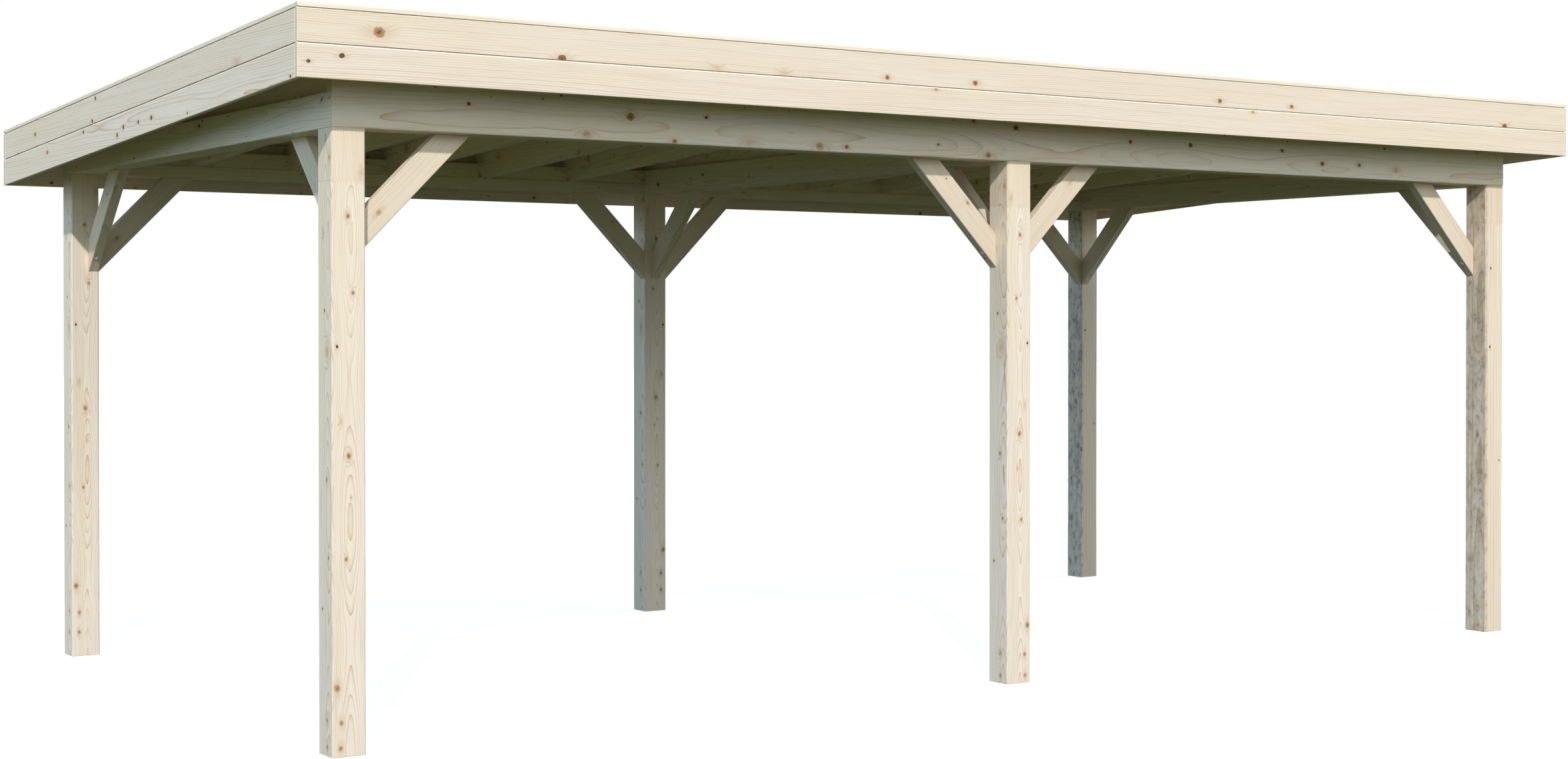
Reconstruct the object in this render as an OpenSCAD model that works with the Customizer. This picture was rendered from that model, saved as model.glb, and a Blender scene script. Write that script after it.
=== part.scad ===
// Garden pavilion: six square posts carry a level ring of beams and one cross beam, stiffened by knee
// braces, and a flat boarded roof that falls gently to the back inside a fascia of two boards and a cap.
// Millimetres, +Z up, +X along the long front, +Y to the back, origin on the ground under the middle.

/* [Frame] */
// Length of the frame over the outer faces of the posts
frame_length = 5884; // [4800:1:7200]
// Depth of the frame over the outer faces of the posts
frame_depth = 2994; // [2400:1:3600]
// Side of the square posts, and width of the beams that lie flush on them
post_size = 120; // [100:1:145]
// Height of the posts, up to the underside of the beams
post_height = 2100; // [1900:1:2500]
// Chamfer along the four upright edges of a post
post_chamfer = 5; // [2:0.5:10]

/* [Beams] */
// Height of the beams
beam_height = 120; // [100:1:160]
// Depth of the housings that let the rafters into the back beam
housing_depth = 68; // [40:1:75]
// How far the blocking over the back beam stands back from the beam's inner face
blocking_set_back = 8; // [2:1:20]
// Thickness of the riser boards that close the frame under the roof, in front and at the back
riser_thickness = 42; // [28:1:60]

/* [Braces] */
// Thickness of a knee brace
brace_thickness = 45; // [35:1:55]
// Width of a knee brace across its slope
brace_width = 94; // [70:1:120]
// Distance from the inner corner of post and beam to where a brace's lower edge ends
brace_reach = 424; // [300:1:550]
// How far the braces stand back from the posts' inner faces
brace_set_back = 2; // [1:1:20]

/* [Roof] */
// Fall of the roof to the back, in degrees
roof_pitch = 3; // [2:0.1:4]
// Overhang of the fascia past the posts on every side
overhang = 201; // [150:1:300]
// Thickness of a rafter
rafter_width = 48; // [38:1:60]
// Height of a rafter
rafter_height = 120; // [110:1:160]
// Distance from a side beam's outer face to the rafter that stands on it
side_rafter_inset = 50; // [20:1:60]
// Rafters between the cross beam and a side beam
rafters_per_bay = 5; // [3:1:7]
// Thickness of the roof boarding
deck_thickness = 20; // [16:1:28]

/* [Fascia] */
// Thickness of the fascia boards and the cap strip
fascia_thickness = 19; // [16:1:28]
// Height of each of the two fascia boards
fascia_board = 112; // [90:1:140]
// Height of the cap strip above the boards
cap_height = 18; // [12:1:30]
// How far the cap strip rises above the roof boarding
fascia_lip = 25; // [10:1:40]

/* [Hidden] */

// Plan: outer faces of the frame, inner faces of its posts and beams, and outer faces of the fascia
half_length = frame_length / 2;
half_depth = frame_depth / 2;
inner_x = half_length - post_size;
inner_y = half_depth - post_size;
eave_x = half_length + overhang;
eave_y = half_depth + overhang;
// Inner faces of the fascia, where the rafters and the roof boarding end
deck_x = eave_x - fascia_thickness;
deck_y = eave_y - fascia_thickness;

// Heights: the rafters sit in the housings of the back beam, and the roof is built up from there
beam_top = post_height + beam_height;
seat_height = beam_height - housing_depth;
back_seat = post_height + seat_height;
front_seat = rafter_under(-half_depth);
fascia_height = 2 * fascia_board + cap_height;

// Rafters stand at equal spacings on both sides of the middle
last_place = rafters_per_bay + 1;
rafter_spacing = (half_length - side_rafter_inset - rafter_width / 2) / last_place;
// Inner face of the riser boards
riser_y = half_depth - riser_thickness;
// A cut runs this far past the face that it opens
cut_past = 10;

sunlit_spruce = [0.94, 0.88, 0.77];
shaded_spruce = [0.80, 0.79, 0.72];
cap_spruce = [0.97, 0.93, 0.84];

// Height of the rafters' underside, roof boarding and fascia at a distance y from the middle
function rafter_under(y) = back_seat + (inner_y - y) * tan(roof_pitch);
function deck_under(y) = rafter_under(y) + rafter_height;
function deck_top(y) = deck_under(y) + deck_thickness;
function fascia_under(y) = deck_top(y) + fascia_lip - fascia_height;

// Left and right face of the rafter at a place, counted from the middle
function left_face(place) = place * rafter_spacing - rafter_width / 2;
function right_face(place) = place * rafter_spacing + rafter_width / 2;

// Prism along X over an outline drawn in (y, z), from x = 0 to x = length
module along_x(length, outline) {
    rotate([90, 0, 90])
        linear_extrude(length)
            polygon(outline);
}

// Box between two corners
module box_between(low, high) {
    translate(low)
        cube(high - low);
}

// Square post with chamfered upright edges, at a corner of the frame or at the middle of a long side
module post(side, row) {
    half = post_size / 2;
    flat = half - post_chamfer;
    color(sunlit_spruce)
        translate([side * (half_length - half), row * (half_depth - half), 0])
            linear_extrude(post_height)
                polygon([
                    [half, -flat], [half, flat], [flat, half], [-flat, half],
                    [-half, flat], [-half, -flat], [-flat, -half], [flat, -half]
                ]);
}

// Front beam, mitred into the side beams at both corners
module front_beam() {
    color(sunlit_spruce)
        translate([0, 0, post_height])
            linear_extrude(beam_height)
                polygon([
                    [-half_length, -half_depth], [half_length, -half_depth],
                    [inner_x, -inner_y], [-inner_x, -inner_y]
                ]);
}

// Side beam, mitred at the front and running through over the back post
module side_beam() {
    color(shaded_spruce)
        translate([0, 0, post_height])
            linear_extrude(beam_height)
                polygon([
                    [-half_length, -half_depth], [-inner_x, -inner_y],
                    [-inner_x, half_depth], [-half_length, half_depth]
                ]);
}

// Back beam between the side beams, as high as the seats of the rafters
module back_beam() {
    color(shaded_spruce)
        box_between([-inner_x, inner_y, post_height], [inner_x, half_depth, back_seat]);
}

// Cross beam between the front and the back beam
module cross_beam() {
    color(shaded_spruce)
        box_between([-post_size / 2, -inner_y, post_height], [post_size / 2, inner_y, beam_top]);
}

// Riser board on the front beam, slotted from above for every rafter
module front_riser() {
    color(sunlit_spruce)
        difference() {
            translate([-half_length, 0, 0])
                along_x(frame_length, [
                    [-half_depth, beam_top], [-riser_y, beam_top],
                    [-riser_y, deck_under(-riser_y)], [-half_depth, deck_under(-half_depth)]
                ]);
            for (place = [-last_place : last_place])
                box_between(
                    [left_face(place), -half_depth - cut_past, front_seat],
                    [right_face(place), -riser_y + cut_past, deck_under(-half_depth) + cut_past]
                );
        }
}

// Riser boards at the back, from one rafter to the next, on the blocking and the side beams
module back_riser() {
    places = [for (place = [-last_place : last_place]) place];
    starts = concat([-half_length], [for (place = places) right_face(place)]);
    ends = concat([for (place = places) left_face(place)], [half_length]);
    color(shaded_spruce)
        for (i = [0 : len(starts) - 1])
            translate([starts[i], 0, 0])
                along_x(ends[i] - starts[i], [
                    [riser_y, beam_top], [half_depth, beam_top],
                    [half_depth, deck_under(half_depth)], [riser_y, deck_under(riser_y)]
                ]);
}

// Blocking on the back beam, from one let-in rafter to the next
module back_blocking() {
    places = [for (place = [-rafters_per_bay : rafters_per_bay]) if (place != 0) place];
    starts = concat([-inner_x], [for (place = places) right_face(place)]);
    ends = concat([for (place = places) left_face(place)], [inner_x]);
    color(shaded_spruce)
        for (i = [0 : len(starts) - 1])
            box_between(
                [starts[i], inner_y + blocking_set_back, back_seat],
                [ends[i], half_depth, beam_top]
            );
}

// Knee brace in the XZ plane: its post face is at x = 0 and the beam's underside at z = 0
module brace() {
    upper = brace_reach - brace_width * sqrt(2);
    translate([0, brace_thickness / 2, 0])
        rotate([90, 0, 0])
            linear_extrude(brace_thickness)
                polygon([[0, -brace_reach], [brace_reach, 0], [upper, 0], [0, -upper]]);
}

// Brace from a post's face at x along the front or back row, leaning towards +X or -X
module row_brace(x, row, lean) {
    y = row * (inner_y + brace_set_back + brace_thickness / 2);
    translate([x, y, post_height])
        rotate([0, 0, lean > 0 ? 0 : 180])
            brace();
}

// Brace from a front or back post inwards under a side beam or the cross beam
module inward_brace(x, row) {
    translate([x, row * inner_y, post_height])
        rotate([0, 0, -row * 90])
            brace();
}

// The two braces of a corner post
module corner_braces(side, row) {
    color(sunlit_spruce) {
        row_brace(side * inner_x, row, -side);
        inward_brace(side * (inner_x + brace_set_back + brace_thickness / 2), row);
    }
}

// The three braces of a middle post
module mid_braces(row) {
    color(sunlit_spruce) {
        row_brace(-post_size / 2, row, -1);
        row_brace(post_size / 2, row, 1);
        inward_brace(0, row);
    }
}

// Rafter with level seats cut for the riser board and for the back beam, tails out to the fascia
module rafter(place) {
    color(shaded_spruce)
        translate([left_face(place), 0, 0])
            along_x(rafter_width, [
                [-deck_y, deck_under(-deck_y)], [-deck_y, rafter_under(-deck_y)],
                [-half_depth, front_seat], [-riser_y, front_seat], [-riser_y, rafter_under(-riser_y)],
                [inner_y, back_seat], [half_depth, back_seat], [half_depth, rafter_under(half_depth)],
                [deck_y, rafter_under(deck_y)], [deck_y, deck_under(deck_y)]
            ]);
}

// Tapered rafter that stands on a side beam or on the cross beam over its whole length
module beam_rafter(place) {
    color(shaded_spruce)
        translate([left_face(place), 0, 0])
            along_x(rafter_width, [
                [-deck_y, deck_under(-deck_y)], [-deck_y, rafter_under(-deck_y)],
                [-half_depth, front_seat], [-riser_y, front_seat],
                [-riser_y, beam_top], [deck_y, beam_top], [deck_y, deck_under(deck_y)]
            ]);
}

// All let-in rafters of the bay on one side of the middle
module bay_rafters(side) {
    for (place = [1 : rafters_per_bay])
        rafter(side * place);
}

// Roof boarding on the rafters, inside the fascia
module roof_boarding() {
    color(shaded_spruce)
        translate([-deck_x, 0, 0])
            along_x(2 * deck_x, [
                [-deck_y, deck_under(-deck_y)], [deck_y, deck_under(deck_y)],
                [deck_y, deck_top(deck_y)], [-deck_y, deck_top(-deck_y)]
            ]);
}

// Level fascia piece along the front (row -1) or the back (row 1), between two heights above its edge
module long_fascia(row, low, high, tint) {
    outer = row * eave_y;
    inner = row * deck_y;
    color(tint)
        box_between(
            [-eave_x, min(outer, inner), fascia_under(outer) + low],
            [eave_x, max(outer, inner), fascia_under(outer) + high]
        );
}

// Fascia piece along a side (-1 left, 1 right), which follows the fall of the roof
module side_fascia(side, low, high, tint) {
    color(tint)
        translate([side < 0 ? -eave_x : deck_x, 0, 0])
            along_x(fascia_thickness, [
                [-deck_y, fascia_under(-deck_y) + low], [deck_y, fascia_under(deck_y) + low],
                [deck_y, fascia_under(deck_y) + high], [-deck_y, fascia_under(-deck_y) + high]
            ]);
}

post(-1, -1);  // post_front_left
post(0, -1);  // post_front_mid
post(1, -1);  // post_front_right
post(-1, 1);  // post_back_left
post(0, 1);  // post_back_mid
post(1, 1);  // post_back_right
front_beam();
back_beam();
side_beam();  // left_beam
mirror([1, 0, 0]) side_beam();  // right_beam
cross_beam();
front_riser();
back_riser();
back_blocking();
corner_braces(-1, -1);  // braces_front_left
mid_braces(-1);  // braces_front_mid
corner_braces(1, -1);  // braces_front_right
corner_braces(-1, 1);  // braces_back_left
mid_braces(1);  // braces_back_mid
corner_braces(1, 1);  // braces_back_right
bay_rafters(-1);  // rafters_left_bay
bay_rafters(1);  // rafters_right_bay
beam_rafter(-last_place);  // rafter_left
beam_rafter(0);  // rafter_mid
beam_rafter(last_place);  // rafter_right
roof_boarding();
long_fascia(-1, 0, fascia_board, sunlit_spruce);  // fascia_front_lower
long_fascia(-1, fascia_board, 2 * fascia_board, sunlit_spruce);  // fascia_front_upper
long_fascia(-1, 2 * fascia_board, fascia_height, cap_spruce);  // fascia_front_cap
long_fascia(1, 0, fascia_board, shaded_spruce);  // fascia_back_lower
long_fascia(1, fascia_board, 2 * fascia_board, shaded_spruce);  // fascia_back_upper
long_fascia(1, 2 * fascia_board, fascia_height, cap_spruce);  // fascia_back_cap
side_fascia(-1, 0, fascia_board, shaded_spruce);  // fascia_left_lower
side_fascia(-1, fascia_board, 2 * fascia_board, shaded_spruce);  // fascia_left_upper
side_fascia(-1, 2 * fascia_board, fascia_height, cap_spruce);  // fascia_left_cap
side_fascia(1, 0, fascia_board, shaded_spruce);  // fascia_right_lower
side_fascia(1, fascia_board, 2 * fascia_board, shaded_spruce);  // fascia_right_upper
side_fascia(1, 2 * fascia_board, fascia_height, cap_spruce);  // fascia_right_cap
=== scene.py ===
import bpy
import numpy as np
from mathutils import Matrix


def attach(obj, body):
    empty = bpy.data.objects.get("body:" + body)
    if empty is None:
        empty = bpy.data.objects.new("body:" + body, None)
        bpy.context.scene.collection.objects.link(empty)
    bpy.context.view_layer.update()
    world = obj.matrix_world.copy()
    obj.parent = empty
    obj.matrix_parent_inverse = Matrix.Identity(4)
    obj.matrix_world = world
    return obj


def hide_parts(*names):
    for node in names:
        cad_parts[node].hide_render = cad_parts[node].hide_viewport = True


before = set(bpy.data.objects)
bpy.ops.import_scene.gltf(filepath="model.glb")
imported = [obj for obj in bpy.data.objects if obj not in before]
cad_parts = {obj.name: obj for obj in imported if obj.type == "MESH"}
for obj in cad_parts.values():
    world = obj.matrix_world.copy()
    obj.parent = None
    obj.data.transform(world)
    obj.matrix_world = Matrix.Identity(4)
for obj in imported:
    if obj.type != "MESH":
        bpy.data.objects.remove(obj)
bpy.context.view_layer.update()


# Posts
# Six square posts of spruce lengths, finger-jointed and glued end to end, planed on four sides and
# chamfered along the upright edges. They stand on their sawn feet and carry the beams. The right-hand
# ones have gone grey.

half_length = 2.942
half_depth = 1.497
post_size = 0.120
post_height = 2.100
post_chamfer = 0.005
planed_arris = 0.0012

x_way = (1, 0, 0)
y_way = (0, 1, 0)
z_way = (0, 0, 1)
rows = {"front": -1, "back": 1}
columns = {"left": -1, "mid": 0, "right": 1}

# Every timber takes the next place in the log from here, so that no two show the same grain
log_places = np.random.default_rng(23)
log_length = 40.0

# How far the middle of a timber may lie from the pith of its log, across its width and through it. Cut near
# the pith it shows V-shaped grain on its front, beside the pith straight grain, and across it long tongues.
any_pith = ((-0.03, 0.03), (0.035, 0.11))
near_pith = ((-0.010, -0.002), (0.028, 0.036))
beside_pith = ((0.13, 0.19), (0.01, 0.03))
across_pith = ((-0.02, 0.02), (0.035, 0.06))

# A face is a planed edge if its normal has less than this share along each way of the timber, and a sawn
# end if it has more than this share along the length. A knot of no size keeps planed edges clear, and the
# patches that may hold knots lie this far apart from side to side.
planed_below = 0.9
sawn_above = 0.6
no_size = 1e-6
side_distance = 2.0
no_knot = (0, 0, 0, 0)


def eased_rectangle(width, height, ease):
    """Counterclockwise outline of a rectangle about the origin: each corner is replaced by two points,
    one ease along either edge."""
    right = width / 2
    top = height / 2
    return np.array([
        [right, ease - top], [right, top - ease], [right - ease, top], [ease - right, top],
        [-right, top - ease], [-right, ease - top], [ease - right, -top], [right - ease, -top],
    ])


def drawn_in(outline, distance):
    """Every point of a counterclockwise outline moved in by the distance from both of its edges: the sum
    of the two inward edge normals divided by one plus their dot product, times the distance."""
    edges = np.roll(outline, -1, axis=0) - outline
    edges = edges / np.linalg.norm(edges, axis=1, keepdims=True)
    inward = np.stack([-edges[:, 1], edges[:, 0]], axis=1)
    inward_before = np.roll(inward, 1, axis=0)
    spread = 1 + np.sum(inward * inward_before, axis=1, keepdims=True)
    return outline + distance * (inward + inward_before) / spread


def nearest_edges(outline, knots):
    """The number of the outline's edge that each knot lies on: the one whose nearest point, at the
    clipped share of the edge where the knot projects onto it, is least far away."""
    edges = np.roll(outline, -1, axis=0) - outline
    reach = knots[:, None, :2] - outline
    share = np.clip(np.sum(reach * edges, axis=2) / np.sum(edges ** 2, axis=1), 0, 1)
    return np.argmin(np.linalg.norm(reach - share[..., None] * edges, axis=2), axis=1)


def ring_faces(ring_count, count):
    """The faces between rings of points: a band of four-cornered ones between any two, and two caps."""
    corner = np.arange(count)
    following = np.roll(corner, -1)
    band = np.stack([corner, following, following + count, corner + count], axis=1)
    last_ring = ring_count - 1
    sides = (band + count * np.arange(last_ring)[:, None, None]).reshape(-1, 4)
    return sides, np.stack([corner[::-1], corner + last_ring * count])


def timber(
    outline, start, end, arris, axes, length_way, width_way, origin=(0, 0, 0), pith=any_pith, knots=(),
    end_knot=no_knot, start_slope=(0, 0), end_slope=(0, 0),
):
    """An outline in (u, v) carried along w. The first and the last ring are drawn in by the arris, the
    next ones lie one arris inside the ends, and there is one more half way between any two knots on the
    same face. The ends are planes: w is the start or end plus its slopes times u and v. The rows of axes
    turn (u, v, w) into x, y and z. The grain of a point is how far it lies from the middle of the timber
    along its length, across its width and through it, plus a place in the log, drawn from the ranges of
    the pith. A knot is u, v, w, radius and darkness, and every face holds the nearest one on its edge of
    the outline. The end knot, without its w, is on both end faces."""
    small = drawn_in(outline, arris)
    knots = np.array(knots, float).reshape(-1, 5)
    knot_edges = nearest_edges(outline, knots)
    marked_edges = np.unique(knot_edges)
    cuts = [np.zeros(0)]
    for edge in marked_edges:
        places = np.sort(knots[knot_edges == edge, 2])
        cuts.append((places[1:] + places[:-1]) / 2)
    cuts = np.unique(np.round(np.concatenate(cuts), 3))
    rings = np.stack([
        np.column_stack([small, start + small @ start_slope]),
        np.column_stack([outline, start + outline @ start_slope + arris]),
        *[np.column_stack([outline, np.full(len(outline), cut)]) for cut in cuts],
        np.column_stack([outline, end + outline @ end_slope - arris]),
        np.column_stack([small, end + small @ end_slope]),
    ])
    axes = np.array(axes, float)
    origin = np.array(origin, float)
    points = rings.reshape(-1, 3) @ axes + origin
    sides, caps = ring_faces(len(rings), len(outline))

    band_knots = np.zeros((len(rings) - 1, len(outline), 5))
    band_ends = np.concatenate([[start], cuts, [end]])
    band_middles = (band_ends[1:] + band_ends[:-1]) / 2
    for edge in marked_edges:
        own = knots[knot_edges == edge]
        nearest = np.argmin(np.abs(band_middles[:, None] - own[:, 2]), axis=1)
        band_knots[1:-1, edge] = own[nearest]
    end_knots = [[*end_knot[:2], w, *end_knot[2:]] for w in (start, end)]
    face_knots = np.concatenate([band_knots.reshape(-1, 5), end_knots])

    ways = np.array([length_way, width_way, np.cross(length_way, width_way)], float)
    middle = (points.min(axis=0) + points.max(axis=0)) / 2
    log_place = log_places.uniform([0, pith[0][0], pith[1][0]], [log_length, pith[0][1], pith[1][1]])
    from_middle = (points - middle) @ ways.T
    knot_grain = (face_knots[:, :3] @ axes + origin - middle) @ ways.T + log_place
    return {
        "points": points,
        "sides": sides,
        "caps": caps,
        "ways": ways,
        "from_middle": from_middle,
        "grain": from_middle + log_place,
        "knots": np.column_stack([knot_grain, face_knots[:, 3:]]),
    }


def add_object(name, data):
    """A new object in the scene that shows a mesh, a lamp or a camera."""
    made = bpy.data.objects.new(name, data)
    bpy.context.scene.collection.objects.link(made)
    return made


def add_timbers(name, timbers, material, slot, *nodes):
    """One piece from several timbers. Its attributes are the grain of each point and how far it lies from
    the timber's middle, on every face corner the place on that face (along the timber, across the face,
    and a number of its own for each side), and on every face its knot (along, across and radius), how
    dark that is, and whether the face is sawn across the grain or is a planed edge."""
    starts = np.cumsum([0] + [len(t["points"]) for t in timbers])
    points, grain, from_middle, knots = (
        np.concatenate([t[key] for t in timbers]) for key in ("points", "grain", "from_middle", "knots")
    )
    faces = []
    for first, t in zip(starts, timbers):
        faces += (t["sides"] + first).tolist() + (t["caps"] + first).tolist()
    mesh = bpy.data.meshes.new(name)
    mesh.from_pydata(points.tolist(), [], faces)
    face_count = [len(t["sides"]) + len(t["caps"]) for t in timbers]
    ways = np.repeat(np.stack([t["ways"] for t in timbers]), face_count, axis=0)
    normals = np.zeros(3 * len(faces), np.float32)
    mesh.polygons.foreach_get("normal", normals)
    turned = np.einsum("fij,fj->fi", ways, normals.reshape(-1, 3))
    corners = np.zeros(len(faces), np.int32)
    mesh.polygons.foreach_get("loop_total", corners)
    corner_points = np.zeros(corners.sum(), np.int32)
    mesh.loops.foreach_get("vertex_index", corner_points)
    through_face = np.abs(turned[:, 1]) > np.abs(turned[:, 2])
    side_number = np.repeat(np.round(turned[:, 1]) + 3 * np.round(turned[:, 2]), corners)
    corner_grain = grain[corner_points]
    across = np.where(np.repeat(through_face, corners), corner_grain[:, 2], corner_grain[:, 1])
    face_place = np.column_stack([corner_grain[:, 0], across, side_distance * side_number])
    planed_edge = (np.max(np.abs(turned), axis=1) < planed_below).astype(np.float32)
    knot_across = np.where(through_face, knots[:, 2], knots[:, 1])
    knot_radius = np.where(planed_edge > 0, no_size, knots[:, 3])
    knot_place = np.column_stack([knots[:, 0], knot_across, knot_radius])
    sawn_end = (np.abs(turned[:, 0]) > sawn_above).astype(np.float32)
    for title, domain, values in (
        ("grain", "POINT", grain),
        ("from_middle", "POINT", from_middle),
        ("face_place", "CORNER", face_place),
        ("knot_place", "FACE", knot_place),
        ("knot_darkness", "FACE", knots[:, 4]),
        ("sawn_end", "FACE", sawn_end),
        ("planed_edge", "FACE", planed_edge),
    ):
        kind, key = ("FLOAT_VECTOR", "vector") if values.ndim == 2 else ("FLOAT", "value")
        mesh.attributes.new(title, kind, domain).data.foreach_set(key, values.ravel())
    mesh.materials.append(material)
    piece = add_object(name, mesh)
    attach(piece, "root")
    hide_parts(*nodes)


def feed(node, sockets):
    """Feeds a node's sockets with links or with plain values."""
    for key, value in sockets.items():
        if isinstance(value, bpy.types.NodeSocket):
            node.id_data.links.new(value, node.inputs[key])
        else:
            node.inputs[key].default_value = value


def wire(tree, kind, sockets, out=0, **settings):
    """Adds a node, sets it up, feeds its sockets and gives back one of its outputs."""
    made = tree.nodes.new("ShaderNode" + kind)
    for key, value in settings.items():
        setattr(made, key, value)
    feed(made, sockets)
    return made.outputs[out]


def calc(operation, first, second=0.0):
    """One sum of two numbers, in the node tree of the first."""
    return wire(first.id_data, "Math", {0: first, 1: second}, operation=operation)


def times(first, second):
    """The product of two numbers."""
    return calc("MULTIPLY", first, second)


def vectors(operation, first, second=(0, 0, 0), out=0):
    """One sum of two vectors, in the node tree of the first."""
    return wire(first.id_data, "VectorMath", {0: first, 1: second}, out=out, operation=operation)


def length_of(vector, factors):
    """How long a vector is once each of its axes is multiplied by a factor."""
    return vectors("LENGTH", vectors("MULTIPLY", vector, factors), out="Value")


def axes_of(vector):
    """The parts of a vector by the names of its axes."""
    return wire(vector.id_data, "SeparateXYZ", {0: vector}).node.outputs


def fade(value, from_low, from_high, to_low=0.0, to_high=1.0):
    """A value's range turned into another with soft ends, and held there outside it."""
    ends = {"From Min": from_low, "From Max": from_high, "To Min": to_low, "To Max": to_high}
    return wire(value.id_data, "MapRange", {"Value": value, **ends}, interpolation_type="SMOOTHSTEP")


def noise(vector, factors, detail):
    """Noise from 0 to 1 whose patches are one over the factors long."""
    sockets = {"Vector": vectors("MULTIPLY", vector, factors), "Scale": 1.0, "Detail": detail}
    return wire(vector.id_data, "TexNoise", sockets)


def chance(number):
    """A number from 0 to 1 that is drawn anew for every other number."""
    return wire(number.id_data, "TexWhiteNoise", {"W": number}, noise_dimensions="1D")


def layer(under, over, share):
    """A colour laid over another by a share."""
    return wire(share.id_data, "Mix", {0: share, 6: under, 7: over}, out=2, data_type="RGBA")


def either(first, second, share):
    """The first number, or the second where the share is one."""
    return wire(share.id_data, "Mix", {0: share, 2: first, 3: second}, data_type="FLOAT")


def new_group(name, inputs, outputs):
    """An empty shader node group with named sockets, its given values and its output node. The sockets
    are vectors if their name says so and otherwise numbers."""
    vector_names = ("Grain", "From Middle", "Face Place", "Knot Place")
    tree = bpy.data.node_groups.new(name, "ShaderNodeTree")
    for way, names in (("INPUT", inputs), ("OUTPUT", outputs)):
        for socket in names:
            kind = "NodeSocketVector" if socket in vector_names else "NodeSocketFloat"
            tree.interface.new_socket(socket, in_out=way, socket_type=kind)
    return tree, tree.nodes.new("NodeGroupInput").outputs, tree.nodes.new("NodeGroupOutput")


def placed(tree, group, sockets):
    """A node group placed in a tree, with its sockets fed. Gives back its outputs."""
    made = tree.nodes.new("ShaderNodeGroup")
    made.node_tree = group
    feed(made, sockets)
    return made.outputs


def attribute(tree, name, out="Vector"):
    """An attribute of the mesh, as a vector or, with Fac, as a number."""
    return wire(tree, "Attribute", {}, out=out, attribute_name=name)


# Growth rings: the distance from the pith, bent slowly and finely by noise and swelling in long waves,
# counts the years. In each year the wood darkens slowly and ends in a thin dark line, and some years are
# darker than others. Every length of timber has its own tone.
slow_patches = (0.9, 3.0, 3.0)
fine_patches = (4.0, 20.0, 20.0)
clear_patches = (1.3, 14.0, 14.0)
fibre_patches = (5.0, 330.0, 330.0)
tone_patches = (0.8, 12.0, 12.0)
swell_length = 0.89
swell_middle = 0.215
fine_depth = 0.009
soft_power = 2.5
soft_share = 0.18
line_power = 8.0
line_share = 0.82
year_fade = (0.0, 1.0, 0.35, 1.0)
clear_fade = (0.3, 0.6, 0.5, 1.0)
tones_per_metre = 10.0
ring_tree, given, ring_output = new_group(
    "growth_rings",
    ("Grain", "From Middle", "Ring Width", "Wander", "Swell", "Bulge"),
    ("Late Wood", "Fibre", "Tone", "Length Tone"),
)
grain = given["Grain"]
from_swell = calc("SUBTRACT", axes_of(given["From Middle"])["X"], swell_middle)
swell_turn = times(from_swell, 2 * np.pi / swell_length)
bends = (
    times(calc("COSINE", swell_turn), given["Swell"]),
    times(noise(grain, slow_patches, 1.0), given["Wander"]),
    times(noise(grain, fine_patches, 2.0), fine_depth),
    given["Bulge"],
)
bent = length_of(grain, (0, 1, 1))
for bend in bends:
    bent = calc("ADD", bent, bend)
years = calc("DIVIDE", bent, given["Ring Width"])
year_part = calc("FRACT", years)
soft_part = times(calc("POWER", year_part, soft_power), soft_share)
thin_line = times(calc("POWER", year_part, line_power), line_share)
year_share = fade(chance(calc("FLOOR", years)), *year_fade)
year_share = times(year_share, fade(noise(grain, clear_patches, 1.0), *clear_fade))
log_start = axes_of(vectors("SUBTRACT", grain, given["From Middle"]))["X"]
feed(ring_output, {
    "Late Wood": times(calc("ADD", soft_part, thin_line), year_share),
    "Fibre": noise(grain, fibre_patches, 2.0),
    "Tone": noise(grain, tone_patches, 4.0),
    "Length Tone": chance(calc("ROUND", times(log_start, tones_per_metre))),
})

# Knots: a face shows the knot that it holds, and otherwise every patch of it may hold one. Each is a
# ragged oval, stretched across the grain and paler where the spread is small, with a dark heart, a darker
# rim if it is a dead knot, a stained halo drawn out along the grain, and rings that bulge round it.
patch_count = (5.0, 11.0, 1.0)
patch_size = (1 / patch_count[0], 1 / patch_count[1], 0)
patch_shift = 0.75
chance_power = 2.5
chance_radii = (0.0, 1.0, 0.4, 1.6)
chance_darknesses = (0.15, 0.8, 0.2, 0.8)
ragged_patches = (110, 110, 10)
ragged_depth = 0.6
oval_along = 0.85
oval_end = 1.3
full_fade = (0.0, 0.4, 0.0, 0.7)
body_fade = (0.0, 0.6, 0.15, 0.9)
heart_reach = 1.2
heart_fade = (0.0, 0.6, 0.0, 0.75)
rim_inner_fade = (0.5, 0.8)
rim_outer_fade = (0.9, 1.2, 1.0, 0.0)
rim_fade = (0.45, 0.9, 0.0, 0.95)
halo_stretch = (0.42, 1, 0)
halo_fade = (0.3, 2.5, 1.0, 0.0)
bulge_depth = 1.2
knot_tree, given, knot_output = new_group(
    "branch_knots",
    ("Face Place", "Knot Place", "Knot Darkness", "Share", "Size", "Spread"),
    ("Knot", "Dark", "Halo", "Bulge"),
)
in_patches = vectors("MULTIPLY", given["Face Place"], patch_count)
patch_sockets = {"Vector": in_patches, "Scale": 1.0, "Randomness": patch_shift}
patch_middle = wire(knot_tree, "TexVoronoi", patch_sockets, out="Position")
patch_chance = wire(knot_tree, "SeparateColor", {0: patch_middle.node.outputs["Color"]}).node.outputs
from_chance = vectors("MULTIPLY", vectors("SUBTRACT", in_patches, patch_middle), patch_size)
chance_radius = fade(calc("POWER", patch_chance[0], chance_power), *chance_radii)
chance_radius = times(given["Size"], chance_radius)
chance_darkness = times(fade(patch_chance[2], *chance_darknesses), given["Spread"])
held_radius = axes_of(given["Knot Place"])["Z"]
held = calc("GREATER_THAN", held_radius, 0.0)
from_held = vectors("SUBTRACT", given["Face Place"], given["Knot Place"])
from_knot = wire(knot_tree, "Mix", {0: held, 4: from_chance, 5: from_held}, out=1, data_type="VECTOR")
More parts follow.
